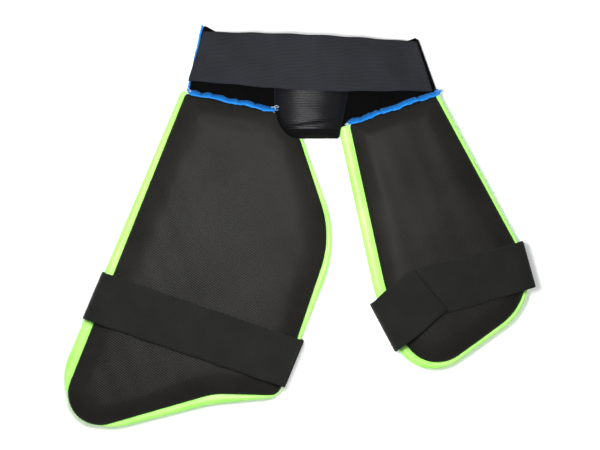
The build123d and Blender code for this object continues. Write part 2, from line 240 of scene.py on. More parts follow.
@dataclass(frozen=True)
class Grain(Finish):
    """A moulded or foamed solid, or a pile: two near tones on a fine structure of cells.

    cell is the size of a grain, cell or hook in millimetres and relief is its height.
    """

    cell: float
    relief: float
    rough: float
    specular: float = 0.5

    def skin(self, tree: bpy.types.NodeTree) -> bpy.types.Node:
        """Voronoi cells set the relief and, with noise, the tone.

        Args:
            tree: the material's node tree.

        Returns:
            The shader.
        """
        place = add_node(tree, "ShaderNodeTexCoord").outputs["Object"]
        cells = add_node(
            tree, "ShaderNodeTexVoronoi", {"Vector": place, "Scale": 1 / (self.cell * MM)}
        ).outputs["Distance"]
        cloud = add_node(
            tree, "ShaderNodeTexNoise",
            {"Vector": place, "Scale": 1 / (SOLID_DRIFT * MM), "Detail": 3.0},
        ).outputs["Fac"]
        tone = add_node(
            tree, "ShaderNodeMix", {"Factor": 0.4, "A": cells, "B": cloud}, data_type="FLOAT"
        ).outputs["Result"]
        ramp = add_node(tree, "ShaderNodeValToRGB", {"Fac": tone})
        near, far = ramp.color_ramp.elements
        near.position, near.color = 0.2, linear(self.high)
        far.position, far.color = 0.7, linear(self.low)
        relief = add_node(
            tree, "ShaderNodeBump",
            {"Height": cells, "Strength": 0.9, "Distance": self.relief * MM}, invert=True,
        ).outputs["Normal"]
        return add_node(
            tree, "ShaderNodeBsdfPrincipled",
            {"Base Color": ramp.outputs["Color"], "Roughness": self.rough, "Normal": relief,
             "Specular IOR Level": self.specular},
        )

# Coated stretch polyester, heat bonded over the foam: bright, even and slightly glossy.
LIME_COVER = Cloth("coated_stretch_polyester_lime", "lime_cover", "#7FE53C", "#B8F57E", 1.2, 1.2,
                   turn=45, relief=0.08, rough=0.5, sheen=0.1, coat=0.12, specular=0.45,
                   mottle=0.55)
# Warp knitted spacer mesh: matt black with fine slanting rows of holes. Its 1.2 mm rows are drawn
# at twice that, or they would not show.
SPACER_MESH = Cloth("warp_knit_spacer_mesh_black", "mesh_lining", "#030303", "#292825", 2.4, 2.0,
                    turn=36, relief=0.32, rough=0.42, sheen=0.02, specular=0.05, mottle=0.25)
# Woven elastic, rubber cores wrapped in polyester: matt with rows along its length, drawn at
# 1.6 mm rather than 0.8 mm so that they show.
WAIST_ELASTIC = Cloth("woven_elastic_charcoal", "black_elastic", "#0A0B0E", "#2C2D32", 1.6, 2.2,
                      relief=0.32, rough=0.85, sheen=0.05, specular=0.14, mottle=0.3,
                      balance=0.25, lay=Lay.STRAP)
PAD_ELASTIC = replace(WAIST_ELASTIC, name="woven_elastic_black", low="#050605", high="#242521",
                      relief=0.34, specular=0.1)
# Rib knitted polyamide stretched over a dome: fine raised rows that catch the light.
RIB_KNIT = Cloth("rib_knit_polyamide_black", "ribbed_knit", "#030304", "#131317", 2.0, 2.6,
                 relief=0.3, rough=0.38, sheen=0.04, specular=0.12, mottle=0.1, balance=0.2,
                 lay=Lay.STRAP)
# Plain woven polyester of the waist panel: close, matt and black. Its tones are darkened further,
# to nearly black, as painted shade for the shadow under the waist elastic.
PANEL_CLOTH = Cloth("plain_woven_polyester_black_painted_shade", "black_fabric", "#020202", "#090909", 1.6, 1.6,
                    turn=17, relief=0.15, rough=0.9, sheen=0.02, specular=0.03)
# Grosgrain tape: close cross ribs, matt, and a shade lighter than the panel it binds.
TAPE_CLOTH = Cloth("grosgrain_binding_black", "black_fabric", "#030303", "#0B0B0B", 1.4, 5.0,
                   relief=0.2, rough=0.85, sheen=0.02, lay=Lay.STRAP, specular=0.08)
# Satin woven ribbon: smooth floats that give a soft gloss and deep blue folds.
BLUE_SATIN = Cloth("satin_woven_ribbon_blue", "blue_ribbon", "#005CB0", "#1590EE", 1.1, 4.0,
                   relief=0.12, rough=0.42, sheen=0.03, specular=0.2, mottle=0.45, lay=Lay.STRAP)
# Nylon webbing, woven flat: coarse rounded ribs with a dull shine.
WEBBING = Cloth("nylon_webbing_black", "webbing", "#0B0B0B", "#232323", 2.2, 1.8,
                relief=0.35, rough=0.8, sheen=0.04, lay=Lay.STRAP, specular=0.15)
# Spun polyester sewing thread, twisted: dull with a fine slant. The pale fibres are loose ones at
# the ribbon's cut ends, drawn light because light passes through them.
BLACK_THREAD = Cloth("spun_polyester_thread_black", "webbing", "#0B0B0B", "#1E1E1E", 0.8, 0.8,
                     turn=30, relief=0.1, rough=0.7)
LIME_THREAD = replace(BLACK_THREAD, name="spun_polyester_thread_lime", slot="lime_cover",
                      low="#7FD63E", high="#ACF06C", rough=0.6)
PALE_THREAD = replace(BLACK_THREAD, name="frayed_polyester_fibre_pale", slot="blue_ribbon",
                      low="#9CC9E8", high="#EAF6FF", relief=0.05)
# Cross linked polyethylene foam, cut from sheet: closed cells and a dry surface.
FOAM = Grain("cross_linked_foam_grey", "foam", "#B9B9B4", "#DADAD4", 1.2, 0.15, 0.9, 0.3)
# Injection moulded polypropylene: an even satin with a faint spark eroded grain.
SHIELD = Grain("moulded_polypropylene_black", "shield_plastic", "#1B1B1D", "#29292C", 0.9, 0.04,
               0.45)
# Hook tape: stiff cut monofilament hooks, drawn 1.3 mm apart. Loop tape: a brushed knitted pile.
HOOKS = Grain("moulded_hook_tape_black", "hook_tape", "#070707", "#2A2A2A", 1.3, 0.6, 0.55)
LOOPS = Grain("brushed_loop_tape_black", "loop_tape", "#141414", "#363636", 0.9, 0.5, 0.95, 0.2)
NODE_FINISHES = {
    "shield_plate": SHIELD, "foam_core": FOAM, "loop_patch": LOOPS, "strap_loop": LOOPS,
    "hook_tab": HOOKS, "strap_hook": HOOKS, "hook_patch": HOOKS, "pouch_back": PANEL_CLOTH,
}


# ---- Shapes -------------------------------------------------------------------------------------


@dataclass
class Shell:
    """A mesh before it is made: points, faces of any size, and strap coordinates per point."""

    points: Array
    faces: list[list[int]]
    weave: Array | None = None


def lattice(rows: int, columns: int, round_rows: bool = False,
            round_columns: bool = False) -> Array:
    """Quads of a grid whose point number is row x columns + column.

    Args:
        rows: number of rows of points.
        columns: number of points in a row.
        round_rows: join the last row to the first.
        round_columns: join the last column to the first.

    Returns:
        One row of four point numbers for each quad.
    """
    row, column = np.meshgrid(
        np.arange(rows - (not round_rows)), np.arange(columns - (not round_columns)), indexing="ij"
    )
    below, beside = (row + 1) % rows, (column + 1) % columns
    quads = (row * columns + column, row * columns + beside,
             below * columns + beside, below * columns + column)
    return np.stack(quads, -1).reshape(-1, 4)


def unit(vectors: Array) -> Array:
    """Vectors scaled to a length of one."""
    return vectors / np.maximum(np.linalg.norm(vectors, axis=-1, keepdims=True), 1e-9)


def smooth_path(points: Array, rounds: int = 3) -> Array:
    """Cut the corners of a path: each span keeps its points at one and three quarters.

    Args:
        points: the path's points, one a row.
        rounds: how often the corners are cut.

    Returns:
        The smoother path, with its two ends kept.
    """
    for _ in range(rounds):
        early, late = 0.75 * points[:-1] + 0.25 * points[1:], 0.25 * points[:-1] + 0.75 * points[1:]
        inner = np.stack([early, late], 1).reshape(-1, points.shape[1])
        points = np.concatenate([points[:1], inner[1:-1], points[-1:]])
    return points


def reach_along(path: Array) -> Array:
    """The distance along a path at each of its points."""
    return np.concatenate([[0], np.cumsum(np.linalg.norm(np.diff(path, axis=0), axis=1))])


def even_path(points: Array, step: float) -> Array:
    """The same path with points an even distance apart, by its own length.

    Args:
        points: the path's points, one a row.
        step: the distance aimed at.

    Returns:
        The new points, from one end to the other.
    """
    reach = reach_along(points)
    at = np.linspace(0, reach[-1], max(int(round(reach[-1] / step)), 2) + 1)
    return np.stack([np.interp(at, reach, points[:, k]) for k in range(points.shape[1])], 1)


def points_at(path: Array, share: Array) -> Array:
    """The x and y at given shares of a path's own length."""
    reach = reach_along(path)
    return np.stack([np.interp(share * reach[-1], reach, path[:, k]) for k in (0, 1)], 1)


def crowded(count: int) -> Array:
    """Shares from 0 to 1 that crowd towards both.

    Even shares are mixed with some of their own half cosine, and the mix is eased as three times
    its square less twice its cube.

    Args:
        count: how many there are.

    Returns:
        The shares, in order.
    """
    even = np.linspace(0, 1, count)
    eased = 0.62 * even + 0.38 * (1 - np.cos(np.pi * even)) / 2
    mixed = 0.35 * eased + 0.65 * even
    return 3 * mixed**2 - 2 * mixed**3


def ripple(at: Array, waves: tuple[tuple[float, float, float], ...]) -> Array:
    """A sum of sines. Each wave is a height, a wavelength and a phase."""
    return sum(height * np.sin(2 * np.pi * at / length + phase) for height, length, phase in waves)


def stacked(rings: list[Array]) -> Shell:
    """Rings joined in order, with the first and last filled.

    Args:
        rings: rings that all have the same number of points.

    Returns:
        A closed shell.
    """
    rows, columns = len(rings), len(rings[0])
    faces = lattice(rows, columns, round_columns=True).tolist()
    faces += [list(range(columns)), list(range((rows - 1) * columns, rows * columns))[::-1]]
    return Shell(np.concatenate(rings), faces)


def strip_shell(middle: Array, thickness: float, edge: float = 0.45, end: float = 0.7) -> Shell:
    """A strip of cloth: a grid of middle points given a thickness along its own normal.

    Args:
        middle: rows of points along the strip, columns across it.
        thickness: full thickness.
        edge: share of the thickness left at the two long edges.
        end: share of it left at the two short ends.

    Returns:
        A closed shell whose strap coordinates are the distances along and across.
    """
    rows, columns = middle.shape[:2]
    normal = unit(np.cross(np.gradient(middle, axis=0), np.gradient(middle, axis=1)))
    full = np.ones(columns)
    full[[0, -1]] = edge
    half = normal * (thickness / 2 * full)[None, :, None]
    half[[0, -1]] *= end
    points = np.concatenate([middle - half, (middle + half)[:, ::-1]], 1)
    along = np.linalg.norm(np.diff(middle, axis=0), axis=2).mean(1)
    across = np.linalg.norm(np.diff(middle, axis=1), axis=2).mean(0)
    along, across = (np.concatenate([[0], np.cumsum(run)]) for run in (along, across))
    u, v = np.meshgrid(along, np.concatenate([across, across[::-1]]), indexing="ij")
    faces = lattice(rows, 2 * columns, round_columns=True).tolist()
    j = np.arange(columns - 1)
    cap = np.stack([j, j + 1, 2 * columns - 2 - j, 2 * columns - 1 - j], 1)
    faces += cap.tolist() + (cap[:, ::-1] + (rows - 1) * 2 * columns).tolist()
    return Shell(points.reshape(-1, 3), faces, np.stack([u, v], -1).reshape(-1, 2) * MM)


def tube_shell(path: Array, section: Array, side: Array) -> Shell:
    """A closed bar: a section carried along a path.

    Args:
        path: the points of the path.
        section: points of the closed section, as (sideways, upwards) offsets.
        side: the sideways direction, one vector for the whole path or one for each point.

    Returns:
        A shell with flat ends.
    """
    side = np.broadcast_to(unit(np.asarray(side, float)), path.shape)
    rise = unit(np.cross(side, np.gradient(path, axis=0)))
    ring = section[None, :, 0, None] * side[:, None] + section[None, :, 1, None] * rise[:, None]
    shell = stacked(list(path[:, None] + ring))
    round_it = np.linspace(0, np.linalg.norm(np.ptp(section, axis=0)) * 2, len(section))
    u, v = np.meshgrid(reach_along(path), round_it, indexing="ij")
    shell.weave = np.stack([u, v], -1).reshape(-1, 2) * MM
    return shell


def joined(shells: list[Shell]) -> Shell:
    """Several shells as one.

    Args:
        shells: the shells; one without strap coordinates takes its x and y for them.

    Returns:
        One shell with all their points and faces.
    """
    starts = np.cumsum([0, *[len(s.points) for s in shells[:-1]]])
    faces = [[n + int(start) for n in face] for s, start in zip(shells, starts) for face in s.faces]
    weave = [s.points[:, :2] * MM if s.weave is None else s.weave for s in shells]
    return Shell(np.concatenate([s.points for s in shells]), faces, np.concatenate(weave))


def stitch_shell(path: Array, up: Point | tuple[float, ...], pitch: float = 4.2,
                 length: float = 3.0, radius: float = 0.38) -> Shell:
    """A row of stitches: short threads with rounded ends that dip into the cloth.

    Each stitch is a ring of six points carried through five stations, and every stitch is the same
    one turned to the path's direction at its middle.

    Args:
        path: the seam's points.
        up: the direction that the thread stands out in.
        pitch: distance from one stitch to the next.
        length: length of the thread that shows.
        radius: half the thread's thickness.

    Returns:
        One shell for the whole row.
    """
    centre = even_path(path, pitch)
    ahead = unit(np.gradient(centre, axis=0))
    side = unit(np.cross(np.asarray(up, float), ahead))
    top = np.cross(ahead, side)
    station = np.array([-0.5, -0.36, 0.0, 0.36, 0.5]) * length
    girth = np.array([0.35, 0.9, 1.0, 0.9, 0.35]) * radius
    dip = np.array([-0.9, -0.15, 0.1, -0.15, -0.9]) * radius
    sides = np.arange(6)
    turn = sides * np.pi / 3
    local = np.stack([
        np.repeat(station, len(sides)), np.outer(girth, np.cos(turn)).ravel(),
        (np.outer(girth, np.sin(turn)) + dip[:, None]).ravel(),
    ], 1)
    axes = np.stack([ahead, side, top], 1)
    points = (centre[:, None] + np.einsum("pk,ckx->cpx", local, axes)).reshape(-1, 3)
    first = np.arange(len(centre))[:, None, None] * len(local)
    quads = lattice(len(station), len(sides), round_columns=True)
    ends = np.stack([sides, len(local) - 1 - sides])
    return Shell(points, (quads[None] + first).reshape(-1, quads.shape[1]).tolist()
                 + (ends[None] + first).reshape(-1, len(sides)).tolist())


@dataclass(frozen=True)
class Outline:
    """A closed line of straight edges with a rounded corner between each two.

    corners are (x, y, radius), in order with the piece on the left. The seam is the edge from the
    last corner back to the first. like is a line whose number of points this one copies, and step
    is the distance from one point to the next.
    """

    corners: tuple[tuple[float, float, float], ...]
    like: "Outline | None" = None
    step: float = 4.0

    def counts(self) -> tuple[Array, Array]:
        """Number of steps round each corner and along each edge, or those of the line it is like.

        Returns:
            One count for each corner and one for each edge.
        """
        if self.like:
            return self.like.counts()
        known = np.array(self.corners, float)
        place = known[:, :2]
        ahead = unit(np.roll(place, -1, 0) - place)
        angle = np.arccos(np.clip((np.roll(ahead, 1, 0) * ahead).sum(1), -1, 1))
        span = np.linalg.norm(np.roll(place, -1, 0) - place, axis=1)
        return (np.maximum(np.ceil(known[:, 2] * angle / self.step), 3).astype(int),
                np.ceil(span / self.step).astype(int) + 1)

    def ring(self, inset: float | Array = 0.0, z: float = 0.0) -> Array:
        """The outline drawn in by an inset.

        Each corner is where the two edges beside it meet once each is moved in by its own inset,
        and its radius loses the mean of the two. The number of points is the same at any inset.

        Args:
            inset: one distance for all the edges, or one for each.
            z: height of the ring.

        Returns:
            The ring's points.
        """
        known = np.array(self.corners, float)
        place, radius = known[:, :2], known[:, 2]
        ahead = unit(np.roll(place, -1, 0) - place)
        inward = np.stack([-ahead[:, 1], ahead[:, 0]], 1)
        behind, inward_behind = np.roll(ahead, 1, 0), np.roll(inward, 1, 0)
        move = np.broadcast_to(np.asarray(inset, float), (len(place),))
        moves = np.stack([np.roll(move, 1), move], 1)
        edges_in = np.stack([inward_behind, inward], 1)
        corner = place + np.linalg.solve(edges_in, moves[..., None])[..., 0]
        turn = behind[:, 0] * ahead[:, 1] - behind[:, 1] * ahead[:, 0]
        angle = np.arctan2(np.abs(turn), (behind * ahead).sum(1))
        way = np.sign(turn)
        bend = np.maximum(radius - way * moves.mean(1), 0.5)
        count, edges = self.counts()
        start = corner - behind * (bend * np.tan(angle / 2))[:, None]
        finish = corner + ahead * (bend * np.tan(angle / 2))[:, None]
        chain = []
        for i in range(len(place)):
            at = np.linspace(0, angle[i], count[i] + 1)[:, None]
            chain.append(start[i] + bend[i] * (np.sin(at) * behind[i]
                                               + (1 - np.cos(at)) * way[i] * inward_behind[i]))
            share = np.linspace(0, 1, edges[i])[1:-1, None]
            chain.append(finish[i] + share * (start[(i + 1) % len(place)] - finish[i]))
        flat = np.concatenate(chain)
        return np.column_stack([flat, np.full(len(flat), z)])

    def lofted(self, profile: list[tuple[float | Array, float]]) -> Shell:
        """Rings at several insets and heights joined in order, with the first and last filled."""
        return stacked([self.ring(inset, z) for inset, z in profile])

    def depth(self, flat: Array) -> tuple[Array, Array]:
        """How far inside the line points are, and the way inwards, from the nearest place on it.

        Args:
            flat: the points' x and y.

        Returns:
            One distance and one direction for each point.
        """
        line = self.ring()[:, :2]
        span = np.roll(line, -1, 0) - line
        normal = unit(np.stack([-span[:, 1], span[:, 0]], 1))
        deep, inward = np.zeros(len(flat)), np.zeros((len(flat), 2))
        batch = 3000  # points taken at a time, to bound the memory used
        for part in np.array_split(np.arange(len(flat)), max(len(flat) // batch, 1)):
            off = flat[part, None] - line[None]
            share = np.clip((off * span).sum(2) / (span**2).sum(1), 0, 1)
            off = off - share[..., None] * span
            best = (off**2).sum(2).argmin(1)
            off = off[np.arange(len(part)), best]
            far = np.linalg.norm(off, axis=1)
            sign = np.where((off * normal[best]).sum(1) < -1e-9, -1.0, 1.0)
            deep[part] = far * sign
            inward[part] = np.where(far[:, None] > 0.02,
                                    off / np.maximum(far, 1e-6)[:, None] * sign[:, None],
                                    normal[best])
        return deep, inward

    def patch(self, corners: tuple[int, int, int, int], rows: int, columns: int) -> Array:
        """A grid that fills the line: the Coons patch between four of its stretches.

        Each point is the mean of the left and right stretches at its row, plus the mean of the
        seam and the far stretch at its column, less the mean of the four corners. Each of the
        three means is weighted by how near the point is to its parts. The grid lines crowd towards
        the line, where the form is steepest.

        Args:
            corners: which corners of the line end its stretches, starting from the seam's left
                end and going round by the left, far and right sides.
            rows: points from the seam to the far side.
            columns: points from left to right.

        Returns:
            A grid of x and y.
        """
        turns, edges = self.counts()
        line = self.ring()[:, :2]
        first = np.cumsum([0, *(turns + 1 + edges - 2)[:-1]]) + turns // 2
        cuts = [first[k] for k in corners] + [len(line) + first[corners[0]]]
        round_it = np.concatenate([line, line])
        v, u = crowded(rows), crowded(columns)
        left, far, right, seam = (round_it[cuts[k] : cuts[k + 1] + 1] for k in range(4))
        left, far = points_at(left, v), points_at(far, u)
        right, seam = points_at(right[::-1], v), points_at(seam[::-1], u)
        s, t = u[None, :, None], v[:, None, None]
        sides = left[:, None] * (1 - s) + right[:, None] * s
        ends = seam[None] * (1 - t) + far[None] * t
        mean = (seam[0] * (1 - s) + seam[-1] * s) * (1 - t) + (far[0] * (1 - s) + far[-1] * s) * t
        return sides + ends - mean

    def fitted(self, points: Array, profile: list[tuple[float, float]], reach: float) -> Array:
        """Pull the points near the line onto a profile.

        A point's nearest place on the line gives its distance inside. With its height, that gives
        the nearest place on the profile, and the point goes there. The pull is full up to six
        tenths of the reach and fades to nothing at the reach.

        Args:
            points: the points to move.
            profile: (distance inside, height) of the wanted surface.
            reach: distance inside at which a point is left alone.

        Returns:
            The moved points.
        """
        curve = even_path(np.array(profile, float), 0.4)
        deep, inward = self.depth(points[:, :2])
        near = ((deep[:, None] - curve[:, 0]) ** 2
                + (points[:, 2, None] - curve[:, 1]) ** 2).argmin(1)
        pull = np.clip((reach - deep) / (0.4 * reach), 0, 1)
        return points + np.column_stack([inward * ((curve[near, 0] - deep) * pull)[:, None],
                                         (curve[near, 1] - points[:, 2]) * pull])


def face_outwards(mesh: bpy.types.Mesh, merge: float = 0.0) -> None:
    """Turn all of a mesh's faces outwards.

    Args:
        mesh: the mesh, in metres.
        merge: points nearer than this are merged first, and none are if it is 0.
    """
    work = bmesh.new()
    work.from_mesh(mesh)
    if merge:
        bmesh.ops.remove_doubles(work, verts=work.verts, dist=merge)
    bmesh.ops.recalc_face_normals(work, faces=work.faces)
    work.to_mesh(mesh)
    work.free()


def placed(name: str, mesh: bpy.types.Mesh, finish: Finish) -> bpy.types.Object:
    """Put a mesh in the scene as a piece.

    Args:
        name: the piece's name.
        mesh: its mesh, in metres.
        finish: what it is made of.

    Returns:
        The new object, at the origin.
    """
    mesh.materials.clear()
    mesh.materials.append(finish.material())
    made = bpy.data.objects.new(name, mesh)
    bpy.context.scene.collection.objects.link(made)
    return made


def report(piece: bpy.types.Object) -> None:
    """Log a finished piece and its number of points."""
    log.info("%s: %d points", piece.name, len(piece.data.vertices))


def make(name: str, shell: Shell, finish: Finish, flat: bool = False) -> bpy.types.Object:
    """Turn a shell in millimetres into an object at the origin, in metres.

    Args:
        name: the piece's name.
        shell: its points and faces.
        finish: what it is made of.
        flat: keep its faces flat shaded.

    Returns:
        The new object, with faces that point outwards.
    """
    mesh = bpy.data.meshes.new(name)
    mesh.from_pydata((shell.points * MM).tolist(), [], shell.faces)
    if shell.weave is not None:
        corner = np.zeros(len(mesh.loops), np.int32)
        mesh.loops.foreach_get("vertex_index", corner)
        layer = mesh.uv_layers.new(name="weave")
        layer.data.foreach_set("uv", shell.weave[corner].astype(np.float32).ravel())
    face_outwards(mesh)
    mesh.polygons.foreach_set("use_smooth", np.full(len(mesh.polygons), not flat))
    return placed(name, mesh, finish)


def settle(piece: bpy.types.Object) -> None:
    """Apply a piece's modifiers and keep its finish, with all faces shaded smooth.

    Args:
        piece: the piece, whose modifiers are gone afterwards.
    """
    bpy.context.view_layer.update()
    graph = bpy.context.evaluated_depsgraph_get()
    finish = piece.data.materials[0]
    mesh = bpy.data.meshes.new_from_object(piece.evaluated_get(graph))
    piece.modifiers.clear()
    piece.data = mesh
    mesh.materials.clear()
    mesh.materials.append(finish)
    mesh.polygons.foreach_set("use_smooth", np.ones(len(mesh.polygons), bool))


def points_of(mesh: bpy.types.Mesh) -> Array:
    """Read a mesh's points.

    Args:
        mesh: a mesh in metres.

    Returns:
        Its points in millimetres, one a row.
    """
    flat = np.zeros(len(mesh.vertices) * 3, np.float32)
    mesh.vertices.foreach_get("co", flat)
    return flat.reshape(-1, 3).astype(float) / MM


def put_points(mesh: bpy.types.Mesh, points: Array) -> None:
    """Write points in millimetres back to a mesh."""
    mesh.vertices.foreach_set("co", (points * MM).astype(np.float32).ravel())
    mesh.update()


FILLING_FRAMES = 20


def swell(piece: bpy.types.Object, cap: float, air: float = 4.0, voxel: float = 0.0,
          sewn: float | None = None, soften: int = 8) -> None:
    """Fill a closed form like a sewn pad: even its faces, blow it up as cloth, then smooth it.

    A point moves along the simulated way, but no further than the cap.

    Args:
        piece: the form to fill.
        cap: furthest that a point may move.
        air: pressure inside.
        voxel: size of the new faces, or 0 to keep the form's own.
        sewn: height below which the form is sewn down and can't move.
        soften: rounds of smoothing.
    """
    if voxel:
        skin = piece.modifiers.new("even_skin", "REMESH")
        skin.mode, skin.voxel_size = "VOXEL", voxel * MM
        settle(piece)
    held = np.flatnonzero(points_of(piece.data)[:, 2] < (-np.inf if sewn is None else sewn))
    group = piece.vertex_groups.new(name="sewn")
    group.add(held.tolist(), 1.0, "REPLACE")
    free = piece.vertex_groups.new(name="free")
    free.add(np.setdiff1d(np.arange(len(piece.data.vertices)), held).tolist(), 1.0, "REPLACE")
    scene = bpy.context.scene
    rest = points_of(piece.data)
    cloth = piece.modifiers.new("filling", "CLOTH")
    cloth.settings.use_pressure = True
    cloth.settings.uniform_pressure_force = air
    cloth.settings.effector_weights.gravity = 0
    if len(held):
        cloth.settings.vertex_group_mass = "sewn"
    cloth.point_cache.frame_start, cloth.point_cache.frame_end = 1, FILLING_FRAMES
    for number in range(1, FILLING_FRAMES + 1):
        scene.frame_set(number)
    graph = bpy.context.evaluated_depsgraph_get()
    shown = piece.evaluated_get(graph).to_mesh()
    moved = points_of(shown) - rest
    far = np.linalg.norm(moved, axis=1, keepdims=True)
    piece.modifiers.clear()
    scene.frame_set(1)
    put_points(piece.data, rest + moved * np.minimum(1, cap / np.maximum(far, 1e-6)))
    soft = piece.modifiers.new("soft", "SMOOTH")
    soft.factor, soft.iterations, soft.vertex_group = 0.5, soften, "free"
    fine = piece.modifiers.new("fine", "SUBSURF")
    fine.levels = fine.render_levels = 1
    settle(piece)


def beside(first: Point, last: Point, along: float, outside: float) -> Array:
    """A point along an edge from its first corner and outside it, with the piece on its left."""
    start, way = np.array(first[:2], float), unit(np.subtract(last[:2], first[:2]).astype(float))
    return start + way * along + np.array([way[1], -way[0]]) * outside


def carried(point: Array, length: float, angle: float) -> Array:
    """The point a length away in a direction, in degrees."""
    return point + length * np.array([math.cos(math.radians(angle)), math.sin(math.radians(angle))])


# ---- The guard's outlines -----------------------------------------------------------------------

OUTER_PAD = Outline((
    (-143.0, 161.9, 3), (-326.6, -270.4, 61), (-108.3, -215.0, 150), (-27.1, -206.9, 22),
    (47.2, -18.3, 139), (3.0, 103.2, 3), (-7.0, 110.5, 6), (-21.0, 122.0, 10),
    (-30.4, 138.6, 2),
))
INNER_PAD = Outline((
    (45.5, 116.7, 4), (88.2, -79.8, 150), (137.6, -200.0, 50), (296.3, -85.7, 75),
    (166.0, 158.5, 4),
))
OUTER_CUSHION = Outline((
    (-137.6, 158.4, 4), (-305.0, -259.5, 38), (-104.0, -201.6, 70), (-27.0, -203.6, 13),
    (37.7, -12.8, 120), (-0.4, 102.6, 3), (-5.0, 111.0, 6), (-19.0, 123.0, 10),
    (-28.8, 136.5, 3),
), OUTER_PAD)
INNER_CUSHION = Outline((
    (58.8, 120.7, 4), (101.4, -74.0, 110), (143.0, -189.5, 43), (290.3, -82.0, 70),
    (161.0, 156.6, 4),
), INNER_PAD)
PANEL = Outline((
    (-117.0, 241.8, 3), (-135.6, 160.7, 3), (-21.0, 136.6, 4), (15.0, 114.6, 10),
    (45.5, 117.1, 6), (165.5, 158.7, 3), (141.0, 227.4, 3), (75.0, 200.5, 120),
    (15.0, 193.0, 200), (-50.0, 205.5, 120),
))
POUCH_FOOT = 105.5
# Heights: the pads' underside with the front blocks below it, the panel's top and the cushions'.
PAD_UNDERSIDE, PANEL_TOP, CUSHION_TOP = 8.0, 8.0, 30.0


def pouch_sides(y: Array) -> tuple[Array, Array]:
    """Where the pouch's two sides are.

    The left side is upright down to its shoulder, and below that a quarter oval down to its toe.
    The right side leans out a little as it goes up.

    Args:
        y: the places along the pouch.

    Returns:
        The x of the left side and of the right side at each place.
    """
    shoulder, toe, toe_width = 141, 104.6, 28.0
    left = np.sqrt(1 - np.clip((shoulder - y) / (shoulder - toe), 0, 1) ** 2)
    lean = 9.6 * np.clip((y - 107) / 50, 0, 1)
    return -30.6 + toe_width * (1 - left), 46.4 + lean


def clear_of_pouch(points: Array, right: bool, gap: float = 0.8) -> Array:
    """Move points that would lie in the pouch out to its side.

    Args:
        points: the points of a piece beside the pouch.
        right: the piece is on the pouch's right side.
        gap: distance left between them; below 0 the piece reaches over the pouch's edge.

    Returns:
        The moved points.
    """
    left_side, right_side = pouch_sides(points[:, 1])
    out = points.copy()
    if right:
        clear = np.maximum(out[:, 0], right_side + gap)
    else:
        clear = np.minimum(out[:, 0], left_side - gap)
    out[:, 0] = np.where(points[:, 1] > POUCH_FOOT - 2.0, clear, out[:, 0])
    return out


# ---- Sub-assemblies -----------------------------------------------------------------------------


